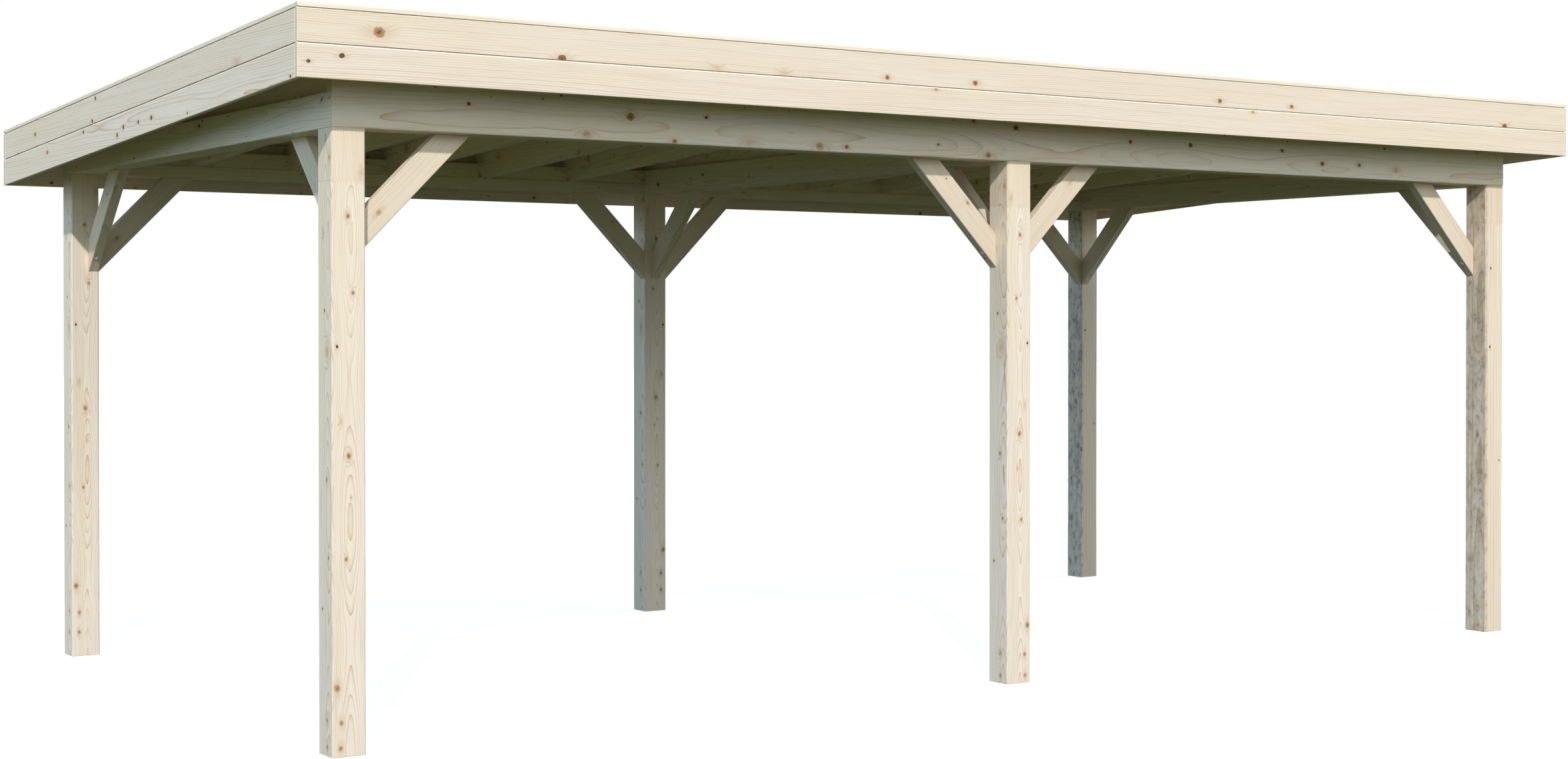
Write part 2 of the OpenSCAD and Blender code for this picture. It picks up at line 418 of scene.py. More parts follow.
knot_radius = either(chance_radius, held_radius, held)
darkness = either(chance_darkness, given["Knot Darkness"], held)
present = calc("MAXIMUM", calc("LESS_THAN", patch_chance[1], given["Share"]), held)
ragged = calc("SUBTRACT", noise(given["Face Place"], ragged_patches, 1.0), 0.5)
oval_factors = wire(knot_tree, "CombineXYZ", {"X": oval_along, "Y": given["Spread"], "Z": 0.0})
oval = calc("DIVIDE", length_of(from_knot, oval_factors), knot_radius)
oval = calc("ADD", oval, times(ragged, ragged_depth))
body = fade(oval, fade(darkness, *full_fade), oval_end, 1.0, 0.0)
body = times(body, fade(darkness, *body_fade))
heart = fade(calc("SUBTRACT", times(darkness, heart_reach), oval), *heart_fade)
rim = times(fade(oval, *rim_inner_fade), fade(oval, *rim_outer_fade))
dark_parts = calc("MAXIMUM", heart, times(rim, fade(darkness, *rim_fade)))
drawn_out = calc("DIVIDE", length_of(from_knot, halo_stretch), knot_radius)
halo = times(fade(drawn_out, *halo_fade), present)
feed(knot_output, {
    "Knot": times(body, present),
    "Dark": times(dark_parts, present),
    "Halo": halo,
    "Bulge": times(times(halo, knot_radius), bulge_depth),
})

# Finger joint: the lengths of a post meet in a saw-toothed line across its front and back, and each comes
# from another place in the log.
joint_above_middle = 0.88
tooth_pitch = 0.0095
tooth_length = 0.018
seam_fade = (0.0, 0.0025, 1.0, 0.0)
upper_place = {"X": 17.0, "Y": 0.12, "Z": -0.02}
joint_tree, given, joint_output = new_group(
    "finger_joint", ("Grain", "From Middle"), ("Grain", "Seam", "Upper")
)
own_place = axes_of(given["From Middle"])
tooth = calc("FRACT", calc("DIVIDE", own_place["Y"], tooth_pitch))
tooth = calc("ABSOLUTE", calc("SUBTRACT", tooth, 0.5))
toothed = calc("ADD", own_place["X"], times(tooth, 2 * tooth_length))
over_joint = calc("SUBTRACT", toothed, joint_above_middle)
upper_length = calc("GREATER_THAN", over_joint, 0.0)
upper_shift = wire(joint_tree, "CombineXYZ", {
    axis: times(upper_length, shift) for axis, shift in upper_place.items()
})
feed(joint_output, {
    "Grain": vectors("ADD", given["Grain"], upper_shift),
    "Seam": fade(calc("ABSOLUTE", over_joint), *seam_fade),
    "Upper": upper_length,
})

# Grey stain: mould that has taken hold in damp storage, in soft patches with darker specks, on the side
# of a post that lay lowest and a little way round its edge.
stained_side = (-0.0595, -0.035, 1.0, 0.0)
stain_patches = (12.0, 20.0, 20.0)
stain_fade = (0.35, 0.62, 0.35, 1.0)
speck_patches = (34.0, 58.0, 58.0)
speck_fade = (0.42, 0.78)
stain_tree, given, stain_output = new_group("grey_stain", ("From Middle",), ("Patches", "Specks"))
soft_patches = fade(noise(given["From Middle"], stain_patches, 3.0), *stain_fade)
soft_patches = times(soft_patches, fade(axes_of(given["From Middle"])["Y"], *stained_side))
specks = fade(noise(given["From Middle"], speck_patches, 3.0), *speck_fade)
feed(stain_output, {"Patches": soft_patches, "Specks": times(specks, soft_patches)})

early_wood = (0.890, 0.800, 0.690, 1)
late_wood = (0.590, 0.390, 0.235, 1)
warm_wood = (0.825, 0.700, 0.545, 1)
knot_brown = (0.510, 0.260, 0.105, 1)
knot_dark = (0.080, 0.040, 0.018, 1)
end_brown = (0.640, 0.490, 0.310, 1)
# Painted highlight: a pale colour laid on planed edges and chamfers for the light they catch
painted_edge_colour = (0.980, 0.920, 0.810, 1)
tone_fade = (0.35, 0.75, 0.0, 0.6)
fibre_fade = (0.42, 0.8, 0.0, 0.3)
roughness_fade = (0.2, 0.8, 0.68, 0.85)
upper_share = 0.7
seam_share = 0.45
halo_share = 0.40
end_share = 0.6
fibre_relief = 0.6
relief_strength = 0.25
relief_depth = 0.0006
wood_gloss = 0.004


def spruce(
    name, ring_width, ring_share, knot_share, knot_size, wander=0.08, swell=0.0, spread=1.0, early=early_wood,
    painted_edge_share=0.0, tone_share=0.35, finger_jointed=False, stain=None,
):
    """Planed spruce: early wood, warmer where the tone says so, by a share of its own in every length and
    over a finger joint, with late wood over it by the rings, the fibre and the joint's seam. Then come the
    halo, body and dark parts of the knots, darker sawn ends and a painted highlight, a paler colour on
    the planed edges for the light they catch. The rings and the fibre stand up a little. A stain is the
    colour and share of its patches, then of its specks."""
    material = bpy.data.materials.new(name)
    material.use_nodes = True
    tree = material.node_tree
    grain = attribute(tree, "grain")
    from_middle = attribute(tree, "from_middle")
    upper_layers = []
    seam_layers = []
    if finger_jointed:
        lengths = placed(tree, joint_tree, {"Grain": grain, "From Middle": from_middle})
        grain = lengths["Grain"]
        upper_layers.append((warm_wood, times(lengths["Upper"], upper_share)))
        seam_layers.append((late_wood, times(lengths["Seam"], seam_share)))
    knots = placed(tree, knot_tree, {
        "Face Place": attribute(tree, "face_place"),
        "Knot Place": attribute(tree, "knot_place"),
        "Knot Darkness": attribute(tree, "knot_darkness", "Fac"),
        "Share": knot_share,
        "Size": knot_size,
        "Spread": spread,
    })
    rings = placed(tree, ring_tree, {
        "Grain": grain,
        "From Middle": from_middle,
        "Ring Width": ring_width,
        "Wander": wander,
        "Swell": swell,
        "Bulge": knots["Bulge"],
    })
    layers = [
        (warm_wood, fade(rings["Tone"], *tone_fade)),
        (warm_wood, times(rings["Length Tone"], tone_share)),
        *upper_layers,
        (late_wood, times(rings["Late Wood"], ring_share)),
        (late_wood, fade(rings["Fibre"], *fibre_fade)),
        *seam_layers,
        (late_wood, times(knots["Halo"], halo_share)),
        (knot_brown, knots["Knot"]),
        (knot_dark, knots["Dark"]),
        (end_brown, times(attribute(tree, "sawn_end", "Fac"), end_share)),
    ]
    # Painted highlight: planed edges and chamfers are made paler for the light they catch
    if painted_edge_share:
        layers.append((painted_edge_colour, times(attribute(tree, "planed_edge", "Fac"), painted_edge_share)))
    if stain:
        patch_colour, patch_share, speck_colour, speck_share = stain
        mould = placed(tree, stain_tree, {"From Middle": from_middle})
        layers.append((patch_colour, times(mould["Patches"], patch_share)))
        layers.append((speck_colour, times(mould["Specks"], speck_share)))
    colour = early
    for over, share in layers:
        colour = layer(colour, over, share)
    relief = calc("ADD", rings["Late Wood"], times(rings["Fibre"], fibre_relief))
    bump = {"Height": relief, "Strength": relief_strength, "Distance": relief_depth}
    feed(tree.nodes["Principled BSDF"], {
        "Base Color": colour,
        "Roughness": fade(rings["Fibre"], *roughness_fade),
        "Normal": wire(tree, "Bump", bump),
        "Specular IOR Level": wood_gloss,
    })
    return material


post_early_wood = (0.890, 0.815, 0.720, 1)
aged_early_wood = (0.860, 0.765, 0.650, 1)
brown_grey = (0.530, 0.440, 0.335, 1)
brown_black = (0.180, 0.155, 0.135, 1)
blue_grey = (0.430, 0.450, 0.430, 1)
blue_black = (0.090, 0.105, 0.115, 1)
post_grain = {"knot_share": 0.85, "knot_size": 0.0055, "wander": 0.035, "finger_jointed": True}
post_spruce = spruce(
    "post_spruce", ring_width=0.0055, ring_share=1.2, swell=0.011, early=post_early_wood, **post_grain
)
brown_post_spruce = spruce(
    "brown_post_spruce", ring_width=0.0105, ring_share=2.8, early=aged_early_wood,
    stain=(brown_grey, 0.55, brown_black, 0.65), **post_grain
)
grey_post_spruce = spruce(
    "grey_post_spruce", ring_width=0.0105, ring_share=1.6, early=post_early_wood,
    stain=(blue_grey, 0.32, blue_black, 0.80), **post_grain
)

# Knots on a post's front (height, distance from the left, radius, darkness) and left side (height,
# distance from the front, radius, darkness)
post_front_knots = [
    (0.030, 0.029, 0.0075, 0.45),
    (0.115, 0.031, 0.0075, 0.45),
    (0.232, 0.017, 0.0100, 0.50),
    (0.660, 0.049, 0.0060, 0.50),
    (0.865, 0.067, 0.0035, 0.30),
    (1.005, 0.059, 0.0085, 0.50),
    (1.120, 0.031, 0.0065, 0.10),
    (1.370, 0.018, 0.0045, 0.90),
    (1.550, 0.075, 0.0065, 0.45),
    (1.805, 0.057, 0.0075, 0.50),
    (1.950, 0.105, 0.0080, 0.10),
]
post_left_knots = [
    (0.030, 0.045, 0.0075, 0.40),
    (0.120, 0.045, 0.0075, 0.35),
    (0.490, 0.086, 0.0040, 0.80),
    (0.665, 0.032, 0.0055, 0.50),
    (0.925, 0.048, 0.0075, 0.45),
    (1.355, 0.040, 0.0140, 0.10),
    (1.490, 0.063, 0.0040, 0.80),
    (1.750, 0.074, 0.0070, 0.20),
    (2.000, 0.020, 0.0085, 0.30),
]
clear_front_knots = [(0.805, 0.095, 0.0040, 0.7), (1.340, 0.028, 0.0045, 1.0), (1.710, 0.033, 0.0045, 1.0)]
back_lift = 0.075
post_half = post_size / 2
post_outline = eased_rectangle(post_size, post_size, post_chamfer)
right_posts = {"front": brown_post_spruce, "back": grey_post_spruce}
for row_name, row in rows.items():
    for column_name, column in columns.items():
        node = f"post_{row_name}_{column_name}"
        post_material, front_knots, pith = post_spruce, post_front_knots, near_pith
        if column > 0:
            post_material, front_knots, pith = right_posts[row_name], clear_front_knots, beside_pith
        # The middle posts' front knots are mirrored, and all knots of the back posts are a little higher up
        mirrored = 1 if column else -1
        lift = back_lift if row > 0 else 0
        post_knots = [
            (mirrored * (across - post_half), -post_half, height + lift, *knot)
            for height, across, *knot in front_knots
        ]
        post_knots += [
            (-post_half, across - post_half, height + lift, *knot)
            for height, across, *knot in post_left_knots
        ]
        post_middle = (column * (half_length - post_half), row * (half_depth - post_half), 0)
        post = timber(
            post_outline, 0, post_height, planed_arris, [x_way, y_way, z_way], z_way, x_way, post_middle,
            pith, post_knots,
        )
        add_timbers(node + "_timber", [post], post_material, "post_spruce", node)


# Beams
# Square spruce beams that lie level on the posts, flush with their faces. The front beam is mitred into
# the side beams, the low back beam sits between them, and the cross beam joins the middle posts.

inner_x = half_length - post_size
inner_y = half_depth - post_size
beam_top = 2.220
back_seat = 2.152
beam_ease = 0.003
hairline = 0.0004

beam_early_wood = (0.840, 0.755, 0.655, 1)
beam_spruce = spruce(
    "beam_spruce", ring_width=0.0085, ring_share=0.9, knot_share=0.55, knot_size=0.0060, wander=0.09,
    early=beam_early_wood,
)
along_x = [y_way, z_way, x_way]
along_y = [z_way, x_way, y_way]
beam_level = (post_height + beam_top) / 2
beam_middle = half_depth - post_half
beam_outline = eased_rectangle(post_size, post_size, beam_ease)

# The front beam's upper edges stay sharp, because the riser board stands flush on them
front_outline = np.array([
    [-inner_y, post_height + beam_ease],
    [-inner_y, beam_top],
    [-half_depth, beam_top],
    [-half_depth, post_height + beam_ease],
    [beam_ease - half_depth, post_height],
    [-inner_y - beam_ease, post_height],
])
# Knots on its front: place along the beam, height over its underside, radius and darkness
front_beam_knots = [
    (-2.630, 0.025, 0.0140, 0.1),
    (-2.440, 0.103, 0.0055, 1.0),
    (-1.980, 0.022, 0.0110, 0.3),
    (-1.800, 0.090, 0.0130, 0.65),
    (-1.615, 0.010, 0.0080, 0.6),
    (-1.480, 0.103, 0.0055, 1.0),
    (-1.290, 0.020, 0.0140, 0.1),
    (-0.975, 0.020, 0.0140, 0.4),
    (-0.850, 0.022, 0.0080, 0.6),
    (-0.410, 0.050, 0.0045, 0.8),
    (-0.160, 0.018, 0.0120, 0.5),
    (0.595, 0.105, 0.0070, 0.8),
    (0.935, 0.105, 0.0085, 0.8),
    (1.480, 0.105, 0.0070, 0.8),
    (1.730, 0.057, 0.0100, 0.7),
    (1.965, 0.060, 0.0080, 0.7),
    (2.205, 0.047, 0.0120, 0.3),
    (2.570, 0.051, 0.0060, 0.6),
]
front_beam = timber(
    front_outline, half_depth - half_length, half_length - half_depth, hairline, along_x, x_way, z_way,
    knots=[(-half_depth, post_height + high, x, *knot) for x, high, *knot in front_beam_knots],
    start_slope=(1, 0), end_slope=(-1, 0),
)
add_timbers("front_beam_timber", [front_beam], beam_spruce, "beam_spruce", "front_beam")

back_height = back_seat - post_height
back_outline = eased_rectangle(post_size, back_height, beam_ease)
back_outline = back_outline + [beam_middle, post_height + back_height / 2]
back_beam = timber(back_outline, -inner_x, inner_x, hairline, along_x, x_way, y_way)
add_timbers("back_beam_timber", [back_beam], beam_spruce, "beam_spruce", "back_beam")

for side, node in ((-1, "left_beam"), (1, "right_beam")):
    side_outline = beam_outline + [beam_level, side * (half_length - post_half)]
    side_beam = timber(
        side_outline, half_length - half_depth, half_depth, hairline, along_y, y_way, z_way,
        start_slope=(0, -side),
    )
    add_timbers(node + "_timber", [side_beam], beam_spruce, "beam_spruce", node)

cross_outline = beam_outline + [beam_level, 0]
cross_beam = timber(cross_outline, -inner_y, inner_y, hairline, along_y, y_way, z_way)
add_timbers("cross_beam_timber", [cross_beam], beam_spruce, "beam_spruce", "cross_beam")


# Riser boards and blocking
# Boards on edge that close the frame between the beams and the roof. The front one is slotted for the
# rafters, the back ones fit between them, and blocks on the back beam fill the gaps beside the rafters'
# seats.

roof_angle = 3
roof_fall = np.tan(np.radians(roof_angle))
rafter_width = 0.048
rafter_height = 0.120
rafter_spacing = 0.478
riser_thickness = 0.042
riser_y = half_depth - riser_thickness
blocking_set_back = 0.008
blocking_face = inner_y + blocking_set_back
block_ease = 0.002


def rafter_under(y):
    """Height of the rafters' undersides: the seat on the back beam plus the fall of the roof from y to
    there."""
    return back_seat + (inner_y - y) * roof_fall


def between_rafters(outline, reach, places):
    """Timbers along x with one outline that fill the gaps beside the rafters at the places, out to the
    reach on either side."""
    starts = np.concatenate([[-reach], places + rafter_width / 2])
    ends = np.concatenate([places - rafter_width / 2, [reach]])
    return [timber(outline, start, end, hairline, along_x, x_way, z_way) for start, end in zip(starts, ends)]


front_seat = rafter_under(-half_depth)
rafter_places = np.arange(-6, 7) * rafter_spacing
left_faces = rafter_places - rafter_width / 2
right_faces = rafter_places + rafter_width / 2

riser_top = rafter_under(-riser_y) + rafter_height
slot_corners = (
    (right_faces, riser_top), (right_faces, front_seat), (left_faces, front_seat), (left_faces, riser_top)
)
slots = np.stack([np.column_stack([x, np.full_like(x, z)]) for x, z in slot_corners], axis=1)
comb = np.concatenate([
    [[-half_length, beam_top], [half_length, beam_top], [half_length, riser_top]],
    slots[::-1].reshape(-1, 2),
    [[-half_length, riser_top]],
])
towards_front = [x_way, z_way, (0, -1, 0)]
front_riser = timber(comb, riser_y, half_depth, hairline, towards_front, x_way, z_way)
add_timbers("front_riser_board", [front_riser], beam_spruce, "beam_spruce", "front_riser")

back_riser_top = rafter_under(half_depth) + rafter_height
back_riser_outline = np.array([
    [riser_y, beam_top], [half_depth, beam_top], [half_depth, back_riser_top], [riser_y, back_riser_top],
])
back_risers = between_rafters(back_riser_outline, half_length, rafter_places)
add_timbers("back_riser_boards", back_risers, beam_spruce, "beam_spruce", "back_riser")

# The first, middle and last rafter stand on beams instead
let_in = np.delete(rafter_places, [0, 6, 12])
block_outline = eased_rectangle(half_depth - blocking_face, beam_top - back_seat, block_ease)
block_outline = block_outline + [(half_depth + blocking_face) / 2, (beam_top + back_seat) / 2]
blocks = between_rafters(block_outline, inner_x, let_in)
add_timbers("back_blocking_blocks", blocks, beam_spruce, "beam_spruce", "back_blocking")


# Knee braces
# Planed spruce braces cut at 45 degrees at both ends, set between a post and the beam over it. Each is
# held by two zinc-plated round-headed screws, driven square through its lower edge near the ends.

brace_thickness = 0.045
brace_width = 0.094
brace_reach = 0.424
brace_set_back = 0.002
brace_ease = 0.0025
screw_inset = 0.078
screw_radius = 0.0095
screw_rise = 0.0042
screw_foot = 0.002
screw_sides = 14
screw_rings = 4
crown_angle = 0.25
brace_early_wood = (0.795, 0.700, 0.580, 1)

brace_spruce = spruce(
    "brace_spruce", ring_width=0.0060, ring_share=1.8, knot_share=0.22, knot_size=0.0055, wander=0.05,
    early=brace_early_wood,
)
# The first brace at each left-hand post has a knot near its foot: out from the post, up from the beam's
# underside, radius and darkness
foot_knot = (0.080, -0.276, 0.0090, 0.35)
upper_reach = brace_reach - brace_width * np.sqrt(2)
brace_outline = np.array([[0, -brace_reach], [brace_reach, 0], [upper_reach, 0], [0, -upper_reach]])
row_brace = inner_y + brace_set_back + brace_thickness / 2
side_brace = inner_x + brace_set_back + brace_thickness / 2


def brace_ways(lean):
    """The way a brace leans, up, along the brace and out of its lower edge."""
    lean = np.array(lean, float)
    up = np.array(z_way, float)
    return lean, up, (lean + up) / np.sqrt(2), (lean - up) / np.sqrt(2)


def knee_brace(corner, lean, end_knot):
    """The brace's outline in (lean, up), carried through its thickness across the lean."""
    lean, up, slope, outward = brace_ways(lean)
    half = brace_thickness / 2
    return timber(
        brace_outline, -half, half, brace_ease, [lean, up, np.cross(lean, up)], slope, outward,
        (*corner, post_height), beside_pith, end_knot=end_knot,
    )


def screw_heads(corner, lean):
    """Two domes on the brace's lower edge: rings of points whose radius is the sine and whose height over
    the edge is the cosine of an angle that runs from the rim to the crown."""
    lean, up, slope, outward = brace_ways(lean)
    through = np.cross(outward, slope)
    turn = np.linspace(0, 2 * np.pi, screw_sides, endpoint=False)
    rise = np.linspace(np.pi / 2, crown_angle, screw_rings)
    radius = screw_radius * np.sin(rise)[:, None, None]
    height = screw_rise * np.cos(rise)[:, None, None]
    ring = np.cos(turn)[:, None] * slope + np.sin(turn)[:, None] * through
    dome = radius * ring + height * outward
    foot = screw_radius * ring - screw_foot * outward
    head = np.concatenate([foot[None], dome])
    tip = np.array([*corner, post_height]) - brace_reach * up
    length = brace_reach * np.sqrt(2)
    return [head + tip + slope * screw_inset, head + tip + slope * (length - screw_inset)]


heads = []
for row_name, row in rows.items():
    for column_name, column in columns.items():
        node = f"braces_{row_name}_{column_name}"
        starts = {-column: column * inner_x} if column else {-1: -post_half, 1: post_half}
        places = [((start, row * row_brace), (way, 0, 0)) for way, start in starts.items()]
        places.append(((column * side_brace, row * inner_y), (0, -row, 0)))
        end_knots = [foot_knot if column < 0 else no_knot, no_knot, no_knot]
        braces = [knee_brace(corner, lean, knot) for (corner, lean), knot in zip(places, end_knots)]
        add_timbers(node + "_timber", braces, brace_spruce, "post_spruce", node)
        for corner, lean in places:
            heads += screw_heads(corner, lean)

head_points = np.stack(heads)
head_count, ring_count, ring_points = head_points.shape[:3]
head_sides, head_caps = ring_faces(ring_count, ring_points)
first_points = np.arange(head_count)[:, None, None] * ring_count * ring_points
head_faces = (head_sides + first_points).reshape(-1, 4).tolist()
head_faces += (head_caps + first_points).reshape(-1, ring_points).tolist()
screw_mesh = bpy.data.meshes.new("brace_screws")
screw_mesh.from_pydata(head_points.reshape(-1, 3).tolist(), [], head_faces)
screw_mesh.polygons.foreach_set("use_smooth", np.ones(len(screw_mesh.polygons), bool))

dull_zinc = (0.36, 0.37, 0.34, 1)
bright_zinc = (0.48, 0.48, 0.45, 1)
spangles_per_metre = 420.0
zinc_roughness = (0.0, 1.0, 0.5, 0.65)
zinc = bpy.data.materials.new("zinc_plate")
zinc.use_nodes = True
zinc_tree = zinc.node_tree
zinc_place = wire(zinc_tree, "TexCoord", {}, out="Object")
spangle = wire(zinc_tree, "TexVoronoi", {"Vector": zinc_place, "Scale": spangles_per_metre}, out="Color")
spangle_value = wire(zinc_tree, "RGBToBW", {0: spangle})
feed(zinc_tree.nodes["Principled BSDF"], {
    "Base Color": layer(dull_zinc, bright_zinc, spangle_value),
    "Roughness": fade(spangle_value, *zinc_roughness),
    "Metallic": 0.10,
    "Specular IOR Level": 0.1,
})
screw_mesh.materials.append(zinc)
screws = add_object("brace_screws", screw_mesh)
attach(screws, "root")


# Rafters
# Sawn and planed spruce rafters that fall to the back and run out to the fascia. Ten have level seats for
# the front riser and the back beam, and three are tapered to stand on the side beams and the cross beam.

overhang = 0.201
fascia_thickness = 0.019
eave_x = half_length + overhang
eave_y = half_depth + overhang
deck_x = eave_x - fascia_thickness
deck_y = eave_y - fascia_thickness
rafter_ease = 0.002

rafter_spruce = spruce(
    "rafter_spruce", ring_width=0.0060, ring_share=0.8, knot_share=0.55, knot_size=0.0085, spread=0.4
)
rafter_front = [
    [-deck_y, rafter_under(-deck_y) + rafter_height],
    [-deck_y, rafter_under(-deck_y)],
    [-half_depth, front_seat],
    [-riser_y, front_seat],
]
rafter_end = [deck_y, rafter_under(deck_y) + rafter_height]
rafter_outline = np.array([
    *rafter_front,
    [-riser_y, rafter_under(-riser_y)],
    [inner_y, back_seat],
    [half_depth, back_seat],
    [half_depth, rafter_under(half_depth)],
    [deck_y, rafter_under(deck_y)],
    rafter_end,
])
beam_rafter_outline = np.array([*rafter_front, [-riser_y, beam_top], [deck_y, beam_top], rafter_end])
down_roof = np.array([0, 1, -roof_fall]) / np.hypot(1, roof_fall)


def rafter(outline, place):
    """A rafter's side outline in (y, z), carried across its thickness at one of the places."""
    start = place * rafter_spacing - rafter_width / 2
    return timber(
        outline, start, start + rafter_width, rafter_ease, along_x, down_roof, np.cross(x_way, down_roof)
    )


for node, places in (("rafters_left_bay", range(-5, 0)), ("rafters_right_bay", range(1, 6))):
    rafters = [rafter(rafter_outline, place) for place in places]
    add_timbers(node + "_timber", rafters, rafter_spruce, "beam_spruce", node)
for node, place in (("rafter_left", -6), ("rafter_mid", 0), ("rafter_right", 6)):
    add_timbers(node + "_timber", [rafter(beam_rafter_outline, place)], rafter_spruce, "beam_spruce", node)


# Roof boarding
# Thirty rows of spruce boards laid across the rafters from side to side, with a V joint between
# neighbours on both faces. Each row is two lengths that meet over a rafter.

board_rows = 30
deck_thickness = 0.020
under_vee = 0.004
upper_vee = 0.002
first_meeting = 3
meeting_step = 5
meeting_count = 7

roof_spruce = spruce(
    "roof_board_spruce", ring_width=0.0060, ring_share=0.8, knot_share=0.32, knot_size=0.0065, tone_share=1.0
)
row_width = 2 * deck_y / board_rows
half_row = row_width / 2
roof_outline = np.array([
    [-half_row + under_vee, 0],
    [half_row - under_vee, 0],
    [half_row, under_vee],
    [half_row, deck_thickness - upper_vee],
    [half_row - upper_vee, deck_thickness],
    [-half_row + upper_vee, deck_thickness],
    [-half_row, deck_thickness - upper_vee],
    [-half_row, under_vee],
])
down_deck = [(0, 1, -roof_fall), z_way, x_way]
roof_boards = []
for row_index in range(board_rows):
    row_y = -deck_y + (row_index + 0.5) * row_width
    row_place = (0, row_y, rafter_under(row_y) + rafter_height)
    meeting = rafter_places[first_meeting + (meeting_step * row_index) % meeting_count]
    for start, end in ((-deck_x, meeting), (meeting, deck_x)):
        board = timber(roof_outline, start, end, planed_arris, down_deck, x_way, y_way, row_place)
        roof_boards.append(board)
add_timbers("roof_boarding_boards", roof_boards, roof_spruce, "beam_spruce", "roof_boarding")


# Fascia
# Two planed spruce boards, one over the other, set round the rafter ends. The lower board has a
# chamfered top edge and the upper board a rebated lower edge. The front and back boards run past the ends
# of the side boards.

fascia_board = 0.112
cap_height = 0.018
fascia_lip = 0.025
board_ease = 0.0015
joint_chamfer = 0.004
joint_gap = 0.003
joint_depth = 0.009
fascia_height = 2 * fascia_board + cap_height

fascia_early_wood = (0.825, 0.725, 0.630, 1)
# The fascia's planed edges and chamfers get a painted highlight, a paler colour for the light they catch
fascia_spruce = spruce(
    "fascia_spruce", ring_width=0.0080, ring_share=1.35, knot_share=0.45, knot_size=0.0060, wander=0.05,
    early=fascia_early_wood, painted_edge_share=0.85,
)
# Both outlines are in (depth from the outer face, height), with the outer face at depth 0
lower_board = np.array([
    [board_ease, 0],
    [fascia_thickness, 0],
    [fascia_thickness, fascia_board],
    [joint_chamfer, fascia_board],
    [0, fascia_board - joint_chamfer],
    [0, board_ease],
])
upper_board = np.array([
    [joint_depth, 0],
    [fascia_thickness, 0],
    [fascia_thickness, fascia_board],
    [board_ease, fascia_board],
    [0, fascia_board - board_ease],
    [0, joint_gap],
    [joint_depth, joint_gap],
])


def fascia_under(y):
    """Height of the fascia's lower edge: the top of the roof boarding at y plus the lip, less the whole
    fascia."""
    return rafter_under(y) + rafter_height + deck_thickness + fascia_lip - fascia_height


def add_all_round(words, outline, low, material, slot, long_knots=(), side_knots=(), side_pith=beside_pith):
    """One profile of the fascia carried level along the front and the back, and down the fall of the roof
    along the left and the right. The words end the names of its nodes and of its pieces."""
    for word, row in rows.items():
        inward = (0, -row, 0)
        axes = [inward, z_way, np.cross(inward, z_way)]
        place = (0, row * eave_y, fascia_under(row * eave_y) + low)
        held = [(0, high, -row * x, *knot) for x, high, *knot in long_knots]
        board = timber(outline, -eave_x, eave_x, planed_arris, axes, x_way, z_way, place, beside_pith, held)
        node = f"fascia_{word}_{words[0]}"
        add_timbers(f"{node}_{words[1]}", [board], material, slot, node)
    for word in ("left", "right"):
        side = columns[word]
        axes = [(-side, 0, 0), z_way, np.array([0, 1, -roof_fall]) * side]
        place = (side * eave_x, 0, fascia_under(0) + low)
        held = [(0, high, side * y, *knot) for y, high, *knot in side_knots]
        board = timber(outline, -deck_y, deck_y, planed_arris, axes, y_way, z_way, place, side_pith, held)
        node = f"fascia_{word}_{words[0]}"
        add_timbers(f"{node}_{words[1]}", [board], material, slot, node)


# Knots on the outer faces: place along the board, height on it, radius and darkness
long_knots = {
    "upper": [
        (-2.860, 0.050, 0.0165, 0.60),
        (-2.185, 0.006, 0.0130, 0.75),
        (-1.560, 0.013, 0.0100, 0.1),
        (-1.270, 0.013, 0.0100, 0.1),
        (-0.805, 0.024, 0.0085, 0.65),
        (-0.385, 0.027, 0.0095, 0.65),
        (0.910, 0.027, 0.0095, 0.65),
        (1.330, 0.025, 0.0085, 0.65),
        (2.705, 0.005, 0.0130, 0.75),
    ],
    "lower": [
        (-3.105, 0.053, 0.0055, 1.0),
        (-2.990, 0.077, 0.0075, 1.0),
        (-0.575, 0.104, 0.0070, 0.4),
        (1.100, 0.104, 0.0070, 0.4),
    ],
}
side_knots = {
    "upper": [
        (-1.160, 0.013, 0.0120, 0.1),
        (0.390, 0.097, 0.0070, 0.9),
        (0.430, 0.013, 0.0070, 0.9),
        (1.215, 0.055, 0.0085, 0.7),
    ],
    "lower": [
        (-1.640, 0.010, 0.0050, 0.9),
        (-0.670, 0.016, 0.0050, 0.7),
        (-0.280, 0.048, 0.0080, 0.9),
        (-0.130, 0.051, 0.0070, 0.9),
        (0.045, 0.054, 0.0080, 0.8),
        (0.120, 0.033, 0.0070, 0.8),
        (0.545, 0.095, 0.0070, 0.9),
        (1.040, 0.070, 0.0080, 0.7),
    ],
}
add_all_round(
    ("lower", "board"), lower_board, 0, fascia_spruce, "fascia_spruce", long_knots["lower"],
    side_knots["lower"], across_pith,
)
add_all_round(
    ("upper", "board"), upper_board, fascia_board, fascia_spruce, "fascia_spruce", long_knots["upper"],
    side_knots["upper"],
)


# Cap strips
# A pale spruce strip on the top edge of the fascia, rebated along its lower edge so that a dark line
# shows under it, and rounded over at the top.

cap_early_wood = (0.900, 0.835, 0.710, 1)
cap_spruce = spruce(
    "cap_spruce", ring_width=0.0050, ring_share=0.7, knot_share=0.0, knot_size=0.0040, wander=0.04,
    early=cap_early_wood,
)
cap_ease = 0.0025
cap_gap = 0.004
cap_outline = np.array([
    [joint_depth, 0],
    [fascia_thickness, 0],
    [fascia_thickness, cap_height - cap_ease],
    [fascia_thickness - cap_ease, cap_height],
    [cap_ease, cap_height],
    [0, cap_height - cap_ease],
    [0, cap_gap],
    [joint_depth, cap_gap],
])
add_all_round(("cap", "strip"), cap_outline, 2 * fascia_board, cap_spruce, "cap_spruce")


# Studio
# A pale floor that keeps the shadow and throws back little light, a soft sky, a sun from the front left,
# a weak soft lamp from behind, and the camera where the photograph was taken.

